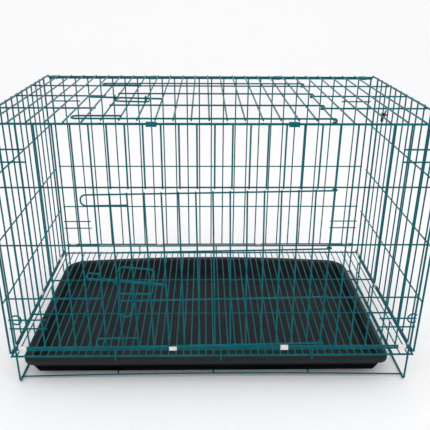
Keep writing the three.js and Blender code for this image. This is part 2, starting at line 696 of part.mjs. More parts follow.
// Clips of the lid: sleeves on the back panel's top wire, hooks over the front panel's
LID_BACK_CLIPS.forEach((gap, index) => {
  const span = Math.hypot(LID_BACK, LID_RISE);
  const clip = named(`top_back_clip_${index + 1}`, sleeve(span), paint);
  clip.position.set(upright(gap) + (PITCH + LID_SHIFT) / 2, -middleY, TOP_HEIGHT);
  clip.rotation.set(0, -Math.PI / 2, 0);
  clip.rotateZ(Math.atan2(LID_BACK, LID_RISE));
  crate.add(clip);
});
LID_FRONT_CLIPS.forEach(([gap, lean], index) => {
  const hook = named(`top_front_clip_${index + 1}`, frontHook(), paint);
  const x = clipPlace(gap, lean, -HALF, PITCH, HOOK_LENGTH);
  hook.position.set(x, middleY - LID_FRONT, TOP_HEIGHT + LID_RISE);
  hook.rotation.set(Math.PI / 2, Math.PI / 2, 0);
  crate.add(hook);
});

// Small black clip on an upright of the right side panel, near its top
const cordClipMesh = named('side_clip', surface(cordClip()), plastic);
const cordClipX = -SIDE_WIDTH / 2 + CORD_CLIP.post * SIDE_PITCH;
cordClipMesh.position.set(cordClipX, SIDE_HEIGHT - CORD_CLIP.drop, FACE);
cordClipMesh.rotation.x = -Math.PI / 2;
right.add(cordClipMesh);

// The origin is under the middle of the whole crate.
crate.updateMatrixWorld(true);
const bounds = new THREE.Box3().setFromObject(crate);
const centre = bounds.getCenter(new THREE.Vector3());
crate.position.set(-centre.x, -centre.y, -bounds.min.z);

export default crate;
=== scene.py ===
"""A folding wire dog crate: round painted wires, weld beads, crimped clips, bolts and a moulded tray,
built over the crate's fixed frame and set on a pale studio floor."""

import math

import bpy
from mathutils import Matrix, Vector


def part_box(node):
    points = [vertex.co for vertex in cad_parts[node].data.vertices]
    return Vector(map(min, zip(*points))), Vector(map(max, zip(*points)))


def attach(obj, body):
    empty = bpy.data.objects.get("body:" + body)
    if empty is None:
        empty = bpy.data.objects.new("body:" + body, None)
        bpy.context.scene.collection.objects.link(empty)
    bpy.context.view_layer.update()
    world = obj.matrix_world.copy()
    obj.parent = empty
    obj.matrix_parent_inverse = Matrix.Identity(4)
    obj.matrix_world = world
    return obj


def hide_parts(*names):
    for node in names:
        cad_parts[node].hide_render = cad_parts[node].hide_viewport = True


bl_info = {
    "name": "Folding wire crate",
    "version": (1, 0, 0),
    "blender": (4, 5, 0),
    "location": "View3D > Sidebar > Crate",
    "description": "Models a folding wire dog crate piece by piece",
    "category": "Object",
}

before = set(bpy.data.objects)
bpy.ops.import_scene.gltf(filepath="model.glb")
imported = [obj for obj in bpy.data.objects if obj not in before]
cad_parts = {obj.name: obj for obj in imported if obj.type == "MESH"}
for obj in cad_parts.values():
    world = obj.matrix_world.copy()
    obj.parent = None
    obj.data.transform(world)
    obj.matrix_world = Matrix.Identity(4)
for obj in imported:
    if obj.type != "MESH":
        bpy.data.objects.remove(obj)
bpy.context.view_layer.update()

# ---- Places taken from the frame. Metres, +Z up, -Y to the front ------------------------------------

FRAME_WIRE = 0.004
FILL_WIRE = 0.003
FLOOR_WIRE = 0.0026
BAR = math.sqrt(math.pi / 2) * FRAME_WIRE / 2  # the frame's thick bars reach this far from their middle
SINK = 0.00035  # two welded wires are pressed this far into each other
GAP = 0.0004  # clearance between pieces that only touch
OVERHANG = 0.002  # wire left standing past its last weld
NUB = 0.005  # and past the end wires on the corner wires

BACK_LOW, BACK_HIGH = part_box("back_panel")
FRONT_LOW, FRONT_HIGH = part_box("front_panel")
FLOOR_LOW, FLOOR_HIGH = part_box("floor_grid")
TRAY_LOW, TRAY_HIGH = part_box("tray")

CENTRE_X = (BACK_LOW.x + BACK_HIGH.x) / 2
FRONT_Y = FRONT_HIGH.y - BAR
BACK_Y = BACK_LOW.y + BAR
MIDDLE_Y = (FRONT_Y + BACK_Y) / 2
HINGE_Z = BACK_LOW.z + BAR
TOP_Z = BACK_HIGH.z - BAR
FLOOR_Z = FLOOR_LOW.z + BAR
RAIL_Z = FLOOR_Z + 0.022
SIDE_HINGE_Z = FLOOR_Z + 0.008
LENGTH = BACK_HIGH.x - BACK_LOW.x - 2 * NUB
HALF = LENGTH / 2
DEPTH = BACK_Y - FRONT_Y
HEIGHT = TOP_Z - HINGE_Z
SIDE_X = FLOOR_HIGH.x - BAR - CENTRE_X
SIDE_WIDTH = DEPTH - 0.016
LID_RISE = 0.002
SIDE_HEIGHT = TOP_Z + LID_RISE - SIDE_HINGE_Z

PITCH = LENGTH / 26
ROW = HEIGHT / 4
SIDE_PITCH = SIDE_WIDTH / 13


def crossing(a, b):
    """Distance between the middles of two crossing wires."""
    return (a + b) / 2 - SINK


FACE = crossing(FRAME_WIRE, FILL_WIRE)
CLEAR = math.sqrt(math.pi / 2) * FILL_WIRE + GAP
DOOR_FACE = FACE + CLEAR
BOLT_FACE = DOOR_FACE + CLEAR


def upright(index):
    return index * PITCH - HALF


LATCH_X = upright(6)
HINGE_X = upright(20)

SAG = math.radians(1)
BOLT_TILT = math.radians(7)
BOLT_HEIGHT = 0.193
BOLT_TIP = 0.028
LID_FRONT = 0.0075
LID_BACK = 0.010
LID_SHIFT = -0.011
LID_BOLT_BACK = 0.005
FRONT_DOOR_ROWS = (0.0145, ROW + 0.006, 2 * ROW - 0.006, 3 * ROW - 0.0045)
LID_DOOR_ROWS = (0.006, DEPTH / 4 - 0.005, DEPTH / 2 - 0.009, 3 * DEPTH / 4 - 0.005)
CLIP_LENGTH = 0.0175

# Flat drawings have x along the panel, y up it and z outwards. These stand them in their places.
FRONT_PLACE = Matrix.Translation((CENTRE_X, FRONT_Y, HINGE_Z)) @ Matrix.Rotation(math.pi / 2, 4, "X")
BACK_PLACE = (
    Matrix.Translation((CENTRE_X, BACK_Y, HINGE_Z))
    @ Matrix.Rotation(math.pi / 2, 4, "X")
    @ Matrix.Rotation(math.pi, 4, "Y")
)
LID_PLACE = Matrix.Translation((CENTRE_X, FRONT_Y, TOP_Z + LID_RISE))


def side_place(side):
    """Place of a side panel, -1 for the left one and 1 for the right one."""
    return (
        Matrix.Translation((CENTRE_X + side * SIDE_X, MIDDLE_Y, SIDE_HINGE_Z))
        @ Matrix.Rotation(math.pi / 2, 4, "X")
        @ Matrix.Rotation(side * math.pi / 2, 4, "Y")
    )


# ---- Settings -------------------------------------------------------------------------------------


class CrateWires(bpy.types.PropertyGroup):
    """Sizes of the wire work"""

    fill: bpy.props.FloatProperty(
        name="Fill wire", description="Diameter of the thin wires", default=0.0036, unit="LENGTH"
    )
    rail: bpy.props.FloatProperty(
        name="Frame wire", description="Diameter of the thick wires", default=0.0046, unit="LENGTH"
    )
    floor: bpy.props.FloatProperty(
        name="Floor wire", description="Diameter of the fine floor wires", default=0.0030, unit="LENGTH"
    )
    rounding: bpy.props.FloatProperty(
        name="End rounding", description="Rounding of a cut wire end", default=0.0005, unit="LENGTH"
    )
    bead: bpy.props.FloatProperty(
        name="Weld bead", description="Radius of the bead where two wires cross", default=0.0019, unit="LENGTH"
    )


class CrateTray(bpy.types.PropertyGroup):
    """Sizes of the tray"""

    rim: bpy.props.FloatProperty(
        name="Rim", description="Width of the flat rim", default=0.018, unit="LENGTH"
    )
    slope: bpy.props.FloatProperty(
        name="Wall slope", description="How far the walls lean in", default=0.008, unit="LENGTH"
    )
    lip: bpy.props.FloatProperty(
        name="Lip", description="Height of the turned-down edge", default=0.009, unit="LENGTH"
    )
    wall: bpy.props.FloatProperty(
        name="Wall", description="Thickness of the plastic", default=0.0022, unit="LENGTH"
    )
    ridge_pitch: bpy.props.FloatProperty(
        name="Ridge spacing", description="From one floor ridge to the next", default=0.0072, unit="LENGTH"
    )


class CrateFinish(bpy.types.PropertyGroup):
    """Colours and gloss"""

    enamel: bpy.props.FloatVectorProperty(
        name="Enamel", description="Colour of the painted wire", subtype="COLOR", size=3,
        default=(0.001, 0.090, 0.112), min=0, max=1,
    )
    enamel_light: bpy.props.FloatVectorProperty(
        name="Enamel, thin", description="Its colour where the coat is thin", subtype="COLOR", size=3,
        default=(0.003, 0.130, 0.155), min=0, max=1,
    )
    gloss: bpy.props.FloatProperty(
        name="Enamel roughness", description="Roughness of the paint", default=0.34, min=0, max=1
    )
    zinc: bpy.props.FloatVectorProperty(
        name="Zinc", description="Colour of the crimped clips", subtype="COLOR", size=3,
        default=(0.80, 0.80, 0.79), min=0, max=1,
    )
    plastic: bpy.props.FloatVectorProperty(
        name="Tray plastic", description="Colour of the tray", subtype="COLOR", size=3,
        default=(0.0075, 0.010, 0.0115), min=0, max=1,
    )
    backdrop: bpy.props.FloatVectorProperty(
        name="Backdrop", description="Colour of the studio floor", subtype="COLOR", size=3,
        default=(0.88, 0.88, 0.89), min=0, max=1,
    )


class CrateSettings(bpy.types.PropertyGroup):
    """Everything that can be set on the crate"""

    wires: bpy.props.PointerProperty(type=CrateWires, name="Wires", description="Sizes of the wire work")
    tray: bpy.props.PointerProperty(type=CrateTray, name="Tray", description="Sizes of the tray")
    finish: bpy.props.PointerProperty(type=CrateFinish, name="Finish", description="Colours and gloss")


def settings():
    return bpy.context.scene.wire_crate


# ---- Modelling steps ------------------------------------------------------------------------------


def only(*pieces):
    """Selects these pieces alone and makes the first one active."""
    bpy.ops.object.select_all(action="DESELECT")
    for piece in pieces:
        piece.select_set(True)
    bpy.context.view_layer.objects.active = pieces[0]


def modify(piece, kind, **values):
    """Adds a modifier, sets it and applies it."""
    only(piece)
    bpy.ops.object.modifier_add(type=kind)
    added = piece.modifiers[-1]
    for key, value in values.items():
        setattr(added, key, value)
    bpy.ops.object.modifier_apply(modifier=added.name)
    return piece


def repeat(piece, count, step):
    """The piece and its copies, a step apart."""
    if count < 2:
        return piece
    return modify(
        piece, "ARRAY", count=count, use_relative_offset=False,
        use_constant_offset=True, constant_offset_displace=step,
    )


def joined(name, pieces):
    """Several objects made one."""
    only(*pieces)
    if len(pieces) > 1:
        bpy.ops.object.join()
    piece = bpy.context.object
    piece.name = piece.data.name = name
    return piece


def copied(piece):
    """A copy with its own mesh."""
    only(piece)
    bpy.ops.object.duplicate()
    return bpy.context.object


def placed(piece, place):
    """Moves a piece's mesh to its place and leaves its object at the origin."""
    only(piece)
    piece.matrix_world = place
    bpy.ops.object.transform_apply(location=True, rotation=True, scale=True)
    return piece


def smoothed(piece, degrees=40):
    only(piece)
    bpy.ops.object.shade_smooth_by_angle(angle=math.radians(degrees))
    return piece


def chosen(piece, test):
    """Selects, in edit mode, the vertices whose place passes a test."""
    bpy.ops.mesh.select_all(action="DESELECT")
    bpy.ops.object.mode_set(mode="OBJECT")
    for vertex in piece.data.vertices:
        vertex.select = test(vertex.co)
    bpy.ops.object.mode_set(mode="EDIT")


def bend(corners, radius):
    """Points of a wire through corners, each inner corner rounded."""
    corners = [Vector(corner) for corner in corners]
    points = [corners[0]]
    for before, corner, after in zip(corners, corners[1:], corners[2:]):
        into = (corner - before).normalized()
        out = (after - corner).normalized()
        turn = into.angle(out)
        side = (out - into * into.dot(out)).normalized()
        start = corner - into * radius * math.tan(turn / 2)
        steps = max(3, math.ceil(turn / math.radians(15)))
        for k in range(steps + 1):
            angle = turn * k / steps
            points.append(start + into * radius * math.sin(angle) + side * radius * (1 - math.cos(angle)))
    points.append(corners[-1])
    return points


def arc(centre, u, v, radius, start, end, steps=18):
    """Points of an arc about a centre, in the plane of two unit directions."""
    centre, u, v = Vector(centre), Vector(u), Vector(v)
    turns = [start + (end - start) * k / steps for k in range(steps + 1)]
    return [centre + u * radius * math.cos(turn) + v * radius * math.sin(turn) for turn in turns]


def wire(name, paths, diameter):
    """Round wire along each path: a chain of edges drawn point by point, given a round section."""
    bpy.ops.object.select_all(action="DESELECT")
    bpy.ops.mesh.primitive_plane_add(size=diameter)
    piece = bpy.context.object
    piece.name = name
    bpy.ops.object.mode_set(mode="EDIT")
    bpy.ops.mesh.select_all(action="SELECT")
    bpy.ops.mesh.delete(type="VERT")
    for path in paths:
        points = [Vector(point) for point in path]
        bpy.ops.mesh.select_all(action="DESELECT")
        bpy.ops.mesh.primitive_plane_add(size=diameter, location=points[0])
        bpy.ops.mesh.merge(type="CENTER")
        for before, after in zip(points, points[1:]):
            bpy.ops.mesh.extrude_region_move(TRANSFORM_OT_translate={"value": after - before})
    bpy.ops.object.mode_set(mode="OBJECT")
    bpy.ops.object.convert(target="CURVE")
    piece = bpy.context.object
    piece.data.dimensions = "3D"
    piece.data.bevel_depth = diameter / 2
    piece.data.bevel_resolution = 3
    piece.data.use_fill_caps = True
    bpy.ops.object.convert(target="MESH")
    piece = bpy.context.object
    modify(
        piece, "BEVEL", width=min(settings().wires.rounding, diameter / 5), segments=2,
        limit_method="ANGLE", angle_limit=math.radians(60),
    )
    return piece


def straight(name, start, end, diameter, count=1, step=(0, 0, 0)):
    """One straight wire and its copies."""
    return repeat(wire(name, [[start, end]], diameter), count, step)


def beads(name, runs):
    """Weld beads. A run is its first bead's place, the step to the next, their number and the wires' axis."""
    bpy.ops.object.select_all(action="DESELECT")
    bpy.ops.mesh.primitive_uv_sphere_add(segments=8, ring_count=5, radius=settings().wires.bead)
    bead = bpy.context.object
    bpy.ops.object.mode_set(mode="EDIT")
    bpy.ops.mesh.select_all(action="SELECT")
    bpy.ops.transform.resize(value=(1.05, 1.05, 0.62))
    bpy.ops.object.mode_set(mode="OBJECT")
    made = []
    for place, step, count in runs:
        run = placed(copied(bead), Matrix.Translation(place))
        made.append(repeat(run, count, step))
    bpy.data.objects.remove(bead)
    return joined(name, made)


def done(piece, body, nodes, material, degrees=40):
    """Smooths a finished piece, gives it its material, sets it on its body and hides the parts it stands for."""
    smoothed(piece, degrees)
    piece.data.materials.clear()
    piece.data.materials.append(material)
    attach(piece, body)
    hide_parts(*nodes)
    return piece


# ---- Finishes -------------------------------------------------------------------------------------


def new_material(name):
    """A material with its shader, its object coordinates and a way to add nodes."""
    material = bpy.data.materials.new(name)
    material.use_nodes = True
    nodes, links = material.node_tree.nodes, material.node_tree.links
    shader = nodes["Principled BSDF"]
    coordinates = nodes.new("ShaderNodeTexCoord").outputs["Object"]

    def node(kind, inputs=(), **values):
        made = nodes.new("ShaderNode" + kind)
        for key, value in values.items():
            setattr(made, key, value)
        for key, value in dict(inputs).items():
            if isinstance(value, bpy.types.NodeSocket):
                links.new(value, made.inputs[key])
            else:
                made.inputs[key].default_value = value
        return made

    def feed(key, socket):
        links.new(socket, shader.inputs[key])

    return material, shader, coordinates, node, feed


def mixed(node, factor, low, high):
    """A colour between two, by a factor."""
    mix = node("Mix", data_type="RGBA")
    sockets = [socket for socket in mix.inputs if socket.enabled]
    mix.id_data.links.new(factor, sockets[0])
    for socket, colour in zip(sockets[1:], (low, high)):
        if isinstance(colour, bpy.types.NodeSocket):
            mix.id_data.links.new(colour, socket)
        else:
            socket.default_value = (*colour, 1)
    return next(socket for socket in mix.outputs if socket.enabled)


def stretch(node, value, low, high, to_low, to_high):
    """A value moved from one range to another."""
    return node(
        "MapRange",
        {"Value": value, "From Min": low, "From Max": high, "To Min": to_low, "To Max": to_high},
    ).outputs["Result"]


def enamel_finish():
    """Thick satin enamel on steel wire: uneven coat, faint orange peel, small runs."""
    if "wire enamel" in bpy.data.materials:
        return bpy.data.materials["wire enamel"]
    finish = settings().finish
    material, shader, coordinates, node, feed = new_material("wire enamel")
    coat = node("TexNoise", {"Vector": coordinates, "Scale": 55.0, "Detail": 3.0, "Roughness": 0.55})
    cloud = node("TexNoise", {"Vector": coordinates, "Scale": 7.0, "Detail": 2.0})
    peel = node("TexNoise", {"Vector": coordinates, "Scale": 900.0, "Detail": 2.0})
    runs = node("TexNoise", {"Vector": coordinates, "Scale": 210.0, "Detail": 1.0})
    patch = stretch(node, coat.outputs["Fac"], 0.38, 0.66, 0, 1)
    tone = mixed(node, patch, tuple(finish.enamel), tuple(finish.enamel_light))
    depth = stretch(node, cloud.outputs["Fac"], 0.3, 0.7, 0, 0.45)
    dark = tuple(0.72 * channel for channel in finish.enamel)
    feed("Base Color", mixed(node, depth, tone, dark))
    feed("Roughness", stretch(node, coat.outputs["Fac"], 0.3, 0.7, finish.gloss - 0.07, finish.gloss + 0.1))
    low = node("Bump", {"Height": runs.outputs["Fac"], "Strength": 0.25, "Distance": 0.0004})
    fine = node(
        "Bump",
        {"Height": peel.outputs["Fac"], "Strength": 0.18, "Distance": 0.0001, "Normal": low.outputs["Normal"]},
    )
    feed("Normal", fine.outputs["Normal"])
    shader.inputs["Specular IOR Level"].default_value = 0.2
    shader.inputs["Specular Tint"].default_value = (0.22, 0.72, 0.78, 1)
    return material


def zinc_finish():
    """Bright plated strip with a rolled grain, dull specks and fine scratches."""
    if "zinc strip" in bpy.data.materials:
        return bpy.data.materials["zinc strip"]
    colour = tuple(settings().finish.zinc)
    material, shader, coordinates, node, feed = new_material("zinc strip")
    grain_place = node("Mapping", {"Vector": coordinates, "Scale": (60.0, 60.0, 900.0)})
    grain = node("TexNoise", {"Vector": grain_place.outputs["Vector"], "Scale": 2.0, "Detail": 4.0})
    spangle = node("TexVoronoi", {"Vector": coordinates, "Scale": 420.0})
    stain = node("TexNoise", {"Vector": coordinates, "Scale": 120.0, "Detail": 3.0})
    tint = stretch(node, spangle.outputs["Distance"], 0.0, 0.8, 0, 0.35)
    bright = mixed(node, tint, colour, tuple(0.78 * channel for channel in colour))
    dull = stretch(node, stain.outputs["Fac"], 0.52, 0.72, 0, 0.5)
    feed("Base Color", mixed(node, dull, bright, (0.42, 0.43, 0.44)))
    feed("Roughness", stretch(node, grain.outputs["Fac"], 0.3, 0.7, 0.24, 0.46))
    bump = node("Bump", {"Height": grain.outputs["Fac"], "Strength": 0.3, "Distance": 0.00015})
    feed("Normal", bump.outputs["Normal"])
    shader.inputs["Metallic"].default_value = 0.85
    return material


def tray_finish():
    """Black moulded plastic: fine grain, pale scuffs from claws and dust in the grain."""
    if "tray plastic" in bpy.data.materials:
        return bpy.data.materials["tray plastic"]
    colour = tuple(settings().finish.plastic)
    material, shader, coordinates, node, feed = new_material("tray plastic")
    grain = node("TexNoise", {"Vector": coordinates, "Scale": 650.0, "Detail": 3.0, "Roughness": 0.6})
    cloud = node("TexNoise", {"Vector": coordinates, "Scale": 9.0, "Detail": 4.0})
    scuff_place = node("Mapping", {"Vector": coordinates, "Scale": (14.0, 90.0, 14.0), "Rotation": (0, 0, 0.5)})
    scuff = node("TexNoise", {"Vector": scuff_place.outputs["Vector"], "Scale": 2.0, "Detail": 5.0})
    dust = stretch(node, cloud.outputs["Fac"], 0.35, 0.75, 0, 0.5)
    base = mixed(node, dust, colour, tuple(1.9 * channel for channel in colour))
    worn = stretch(node, scuff.outputs["Fac"], 0.62, 0.78, 0, 0.35)
    feed("Base Color", mixed(node, worn, base, tuple(3.2 * channel for channel in colour)))
    feed("Roughness", stretch(node, cloud.outputs["Fac"], 0.3, 0.7, 0.5, 0.66))
    bump = node("Bump", {"Height": grain.outputs["Fac"], "Strength": 0.35, "Distance": 0.0003})
    feed("Normal", bump.outputs["Normal"])
    shader.inputs["Specular IOR Level"].default_value = 0.22
    return material


def black_clip_finish():
    """Hard glossy black plastic with a faint mould texture."""
    material, shader, coordinates, node, feed = new_material("clip plastic")
    grain = node("TexNoise", {"Vector": coordinates, "Scale": 1100.0, "Detail": 2.0})
    cloud = node("TexNoise", {"Vector": coordinates, "Scale": 90.0, "Detail": 2.0})
    tone = stretch(node, cloud.outputs["Fac"], 0.35, 0.7, 0, 1)
    feed("Base Color", mixed(node, tone, (0.008, 0.008, 0.009), (0.022, 0.022, 0.024)))
    feed("Roughness", stretch(node, cloud.outputs["Fac"], 0.3, 0.7, 0.28, 0.45))
    bump = node("Bump", {"Height": grain.outputs["Fac"], "Strength": 0.2, "Distance": 0.0001})
    feed("Normal", bump.outputs["Normal"])
    return material


def backdrop_finish():
    """Matte studio paper."""
    material, shader, coordinates, node, feed = new_material("studio paper")
    fibre = node("TexNoise", {"Vector": coordinates, "Scale": 60.0, "Detail": 4.0})
    colour = tuple(settings().finish.backdrop)
    tone = stretch(node, fibre.outputs["Fac"], 0.3, 0.7, 0, 1)
    feed("Base Color", mixed(node, tone, colour, tuple(0.985 * channel for channel in colour)))
    shader.inputs["Roughness"].default_value = 0.7
    shader.inputs["Specular IOR Level"].default_value = 0.2
    return material


# ---- Panels ---------------------------------------------------------------------------------------


def row_wires(name, heights, reach, cut, shift=0.0):
    """Level wires of a panel, the outer two thick, some of them cut at the door opening."""
    rails, fills = [], []
    for row, y in enumerate(heights):
        paths = rails if row in (0, len(heights) - 1) else fills
        if row in cut:
            paths.append([(-reach, y, 0), (LATCH_X + shift + OVERHANG, y, 0)])
            paths.append([(HINGE_X + shift - OVERHANG, y, 0), (reach, y, 0)])
        else:
            paths.append([(-reach, y, 0), (reach, y, 0)])
    sizes = settings().wires
    return [wire(name + "_rails", rails, sizes.rail), wire(name + "_rows", fills, sizes.fill)]


def upright_wires(name, bottom, top, opening_top, end_x, shift=0.0):
    """Upright wires of a long panel; the ones over a door opening start at its upper edge."""
    sizes = settings().wires
    step = (PITCH, 0, 0)
    made = [
        wire(name + "_ends", [[(x, bottom, FACE), (x, top, FACE)] for x in (-end_x, end_x)], sizes.rail)
    ]
    blocks = [(1, 25, bottom)] if opening_top is None else [(1, 6, bottom), (20, 25, bottom), (7, 19, opening_top)]
    for first, last, start in blocks:
        x = upright(first) + shift
        made.append(
            straight(name + "_uprights", (x, start, FACE), (x, top, FACE), sizes.fill, last - first + 1, step)
        )
    return made


def corner_wires(name, heights):
    """Short wires that stiffen a long panel's corners."""
    paths = [
        [(side * (HALF - 0.079), y, 0), (side * (HALF + NUB), y, 0)] for side in (-1, 1) for y in heights
    ]
    return wire(name + "_corners", paths, settings().wires.fill)


def grid_beads(name, heights, cut, shift=0.0, end_x=HALF):
    """Beads where the uprights cross the rows."""
    z = FACE / 2 + 0.0002
    runs = []
    for row, y in enumerate(heights):
        spans = [(1, 6), (20, 25)] if row in cut else [(1, 25)]
        for first, last in spans:
            runs.append(((upright(first) + shift, y, z), (PITCH, 0, 0), last - first + 1))
        runs.append(((-end_x, y, z), (2 * end_x, 0, 0), 2))
    return beads(name + "_beads", runs)


def corner_beads(name, heights):
    """Beads where the short wires cross the end uprights."""
    z = FACE / 2 + 0.0002
    runs = []
    for y in heights:
        runs += [((upright(0), y, z), (PITCH, 0, 0), 3), ((upright(24), y, z), (PITCH, 0, 0), 3)]
    return beads(name + "_corner_beads", runs)


class CRATE_OT_front_panel(bpy.types.Operator):
    """Front panel: rows, uprights round the doorway, corner wires and their rings"""

    bl_idname = "crate.front_panel"
    bl_label = "Front panel"

    def execute(self, context):
        heights = [row * ROW for row in range(5)]
        low = [0.052, 0.075, HEIGHT - 0.077, HEIGHT - 0.051]
        parts = row_wires("front", heights, HALF + OVERHANG, (1, 2))
        parts += upright_wires("front", -OVERHANG, HEIGHT + 0.001, 3 * ROW - OVERHANG, HALF)
        parts.append(corner_wires("front", low))
        rings = []
        for side, inset in ((-1, 0.012), (1, 0.003)):
            centre = (side * (HALF - inset), low[1], 0)
            turn = 0.75 * math.pi
            rings.append(arc(centre, (-side, 0, 0), (0, 1, 0), 0.0115, -turn, turn, 24))
        parts.append(wire("front_rings", rings, settings().wires.fill))
        inner = HALF - 0.079
        tail = [(inner + 0.0005, low[0], 0), (inner, low[0] - 0.012, 0), (inner - 0.009, low[0] - 0.011, 0)]
        parts.append(wire("front_tail", [bend(tail, 0.0045)], settings().wires.fill))
        parts += [grid_beads("front", heights, (1, 2)), corner_beads("front", low)]
        piece = placed(joined("front_panel_wires", parts), FRONT_PLACE)
        done(piece, "front", ["front_panel"], enamel_finish())
        return {"FINISHED"}


class CRATE_OT_back_panel(bpy.types.Operator):
    """Back panel: rows, uprights and corner wires"""

    bl_idname = "crate.back_panel"
    bl_label = "Back panel"

    def execute(self, context):
        heights = [row * ROW for row in range(5)]
        low = [0.057, 0.080, HEIGHT - 0.086, HEIGHT - 0.065]
        parts = row_wires("back", heights, HALF + OVERHANG, ())
        parts += upright_wires("back", -OVERHANG, HEIGHT + 0.001, None, HALF)
        parts.append(corner_wires("back", low))
        parts += [grid_beads("back", heights, ()), corner_beads("back", low)]
        piece = placed(joined("back_panel_wires", parts), BACK_PLACE)
        done(piece, "back", ["back_panel"], enamel_finish())
        return {"FINISHED"}


class CRATE_OT_top_panel(bpy.types.Operator):
    """Lid: rows and cross wires round the top doorway"""

    bl_idname = "crate.top_panel"
    bl_label = "Lid"

    def execute(self, context):
        quarter = DEPTH / 4
        heights = [-LID_FRONT, quarter, 2 * quarter, 3 * quarter, DEPTH + LID_BACK]
        end_x = HALF + 0.007
        parts = row_wires("top", heights, end_x + 0.001, (1, 2), LID_SHIFT)
        parts += upright_wires(
            "top", -LID_FRONT - 0.001, DEPTH + LID_BACK + 0.001, 3 * quarter - OVERHANG, end_x, LID_SHIFT
        )
        parts.append(grid_beads("top", heights, (1, 2), LID_SHIFT, end_x))
        piece = placed(joined("lid_wires", parts), LID_PLACE)
        done(piece, "lid", ["top_panel"], enamel_finish())
        return {"FINISHED"}


class CRATE_OT_side_panels(bpy.types.Operator):
    """Left and right side panels"""

    bl_idname = "crate.side_panels"
    bl_label = "Side panels"

    def execute(self, context):
        sizes = settings().wires
        reach = SIDE_WIDTH / 2
        heights = [row * SIDE_HEIGHT / 4 for row in range(5)]
        ends = [
            [(x, -OVERHANG, FACE), (x, SIDE_HEIGHT + OVERHANG, FACE)] for x in (-reach, reach)
        ]
        for side, name, node in ((-1, "left_side", "left_side_panel"), (1, "right_side", "right_side_panel")):
            x = SIDE_PITCH - reach
            parts = row_wires(name, heights, reach + OVERHANG, ())
            parts.append(wire(name + "_ends", ends, sizes.rail))
            parts.append(
                straight(
                    name + "_uprights", (x, -OVERHANG, FACE), (x, SIDE_HEIGHT + OVERHANG, FACE),
                    sizes.fill, 12, (SIDE_PITCH, 0, 0),
                )
            )
            z = FACE / 2 + 0.0002
            parts.append(beads(name + "_beads", [((-reach, y, z), (SIDE_PITCH, 0, 0), 14) for y in heights]))
            piece = placed(joined(name + "_wires", parts), side_place(side))
            done(piece, name, [node], enamel_finish())
        return {"FINISHED"}


# ---- Doors and bolts ------------------------------------------------------------------------------


def bolt_line(x):
    """Height of a bolt's middle above the panel's bottom wire."""
    return BOLT_HEIGHT - (x - LATCH_X) * math.tan(BOLT_TILT)


def door_place(parent, sag, shift, rows):
    """Place of a door drawn flat in its panel, hanging low at its free side."""
    pivot = Vector((HINGE_X, (rows[0] + rows[3]) / 2, 0))
    return (
        parent
        @ Matrix.Translation(pivot + Vector((shift, 0, 0)))
        @ Matrix.Rotation(sag, 4, "Z")
        @ Matrix.Translation(-pivot)
    )


def door_wires(name, sag, heights):
    """Rows that end in eyes round the hinge wire, uprights, and the staples that hold a bolt."""
    sizes = settings().wires
    left, tip, back = upright(7), LATCH_X - 0.024, LATCH_X + 0.072
    rows = []
    for row, y in enumerate(heights):
        hinge = HINGE_X + (y - (heights[0] + heights[3]) / 2) * math.tan(sag)
        inward = 0.024 if row == 0 else -0.024
        if row in (0, 3):
            start = [(back, y + inward), (tip, y + inward), (tip, y)]
        else:
            start = [(left - OVERHANG, y)]
        corners = [(x, height, DOOR_FACE) for x, height in start + [(hinge, y)]]
        eye = arc((hinge, y, FACE), (1, 0, 0), (0, 0, 1), CLEAR, math.pi / 2, -0.8 * math.pi, 14)
        rows.append(bend(corners, 0.011)[:-1] + eye)
    behind = DOOR_FACE - crossing(FILL_WIRE, FILL_WIRE)
    ends = (heights[0] - OVERHANG, heights[3] + OVERHANG)
    slant = CLEAR * math.tan(BOLT_TILT)
    half = CLEAR + crossing(FILL_WIRE, FILL_WIRE) + slant
    staples = []
    for x in (upright(7), upright(9)):
        y = bolt_line(x)
        corners = [(x, y + half, behind), (x, y + half, BOLT_FACE + CLEAR)]
        corners += [(x, y - half, BOLT_FACE + CLEAR), (x, y - half, behind)]
        staples.append(bend(corners, 0.002))
    z = (DOOR_FACE + behind) / 2
    parts = [
        wire(name + "_rows", rows, sizes.fill),
        straight(
            name + "_uprights", (left, ends[0], behind), (left, ends[1], behind), sizes.fill, 13, (PITCH, 0, 0)
        ),
        wire(name + "_staples", staples, sizes.fill),
        beads(name + "_beads", [((left, y, z), (PITCH, 0, 0), 13) for y in heights]),
    ]
    return joined(name + "_door_wires", parts)


def bolt_wires(name, handle_side, has_pull):
    """A bolt with its tip at the origin and its shaft along +x."""
    doubled = crossing(FILL_WIRE, FILL_WIRE)
    shaft = bend([(0.027, 0.014, 0), (0, 0.014, 0), (0, 0, 0), (0.167, 0, 0)], 0.0062)
    second = [(0.035, doubled, 0), (0.164, doubled, 0)]
    top = handle_side * 0.036
    handle = [(0.069, 0, 0), (0.069, top, 0), (0.142, top, 0)]
    paths = [shaft, second]
    if has_pull:
        slope = math.tan(math.radians(5))
        handle += [(0.142, -0.024, 0), (0.071, -0.024 - 0.071 * slope, 0)]
        pull = [(0.071, 0, 0), (0.071, -0.088, 0), (0.100, -0.088, 0), (0.100, 0, 0)]
        paths.append(bend(pull, 0.0135))
    else:
        handle.append((0.142, 0, 0))
    paths.append(bend(handle, 0.006))
    places = [(0.038, doubled / 2, 0), (0.069, 0, 0), (0.142, 0, 0), (0.161, doubled / 2, 0)]
    parts = [
        wire(name + "_wires", paths, settings().wires.fill),
        beads(name + "_beads", [(place, (0, 0, 0), 1) for place in places]),
    ]
    return joined(name, parts)


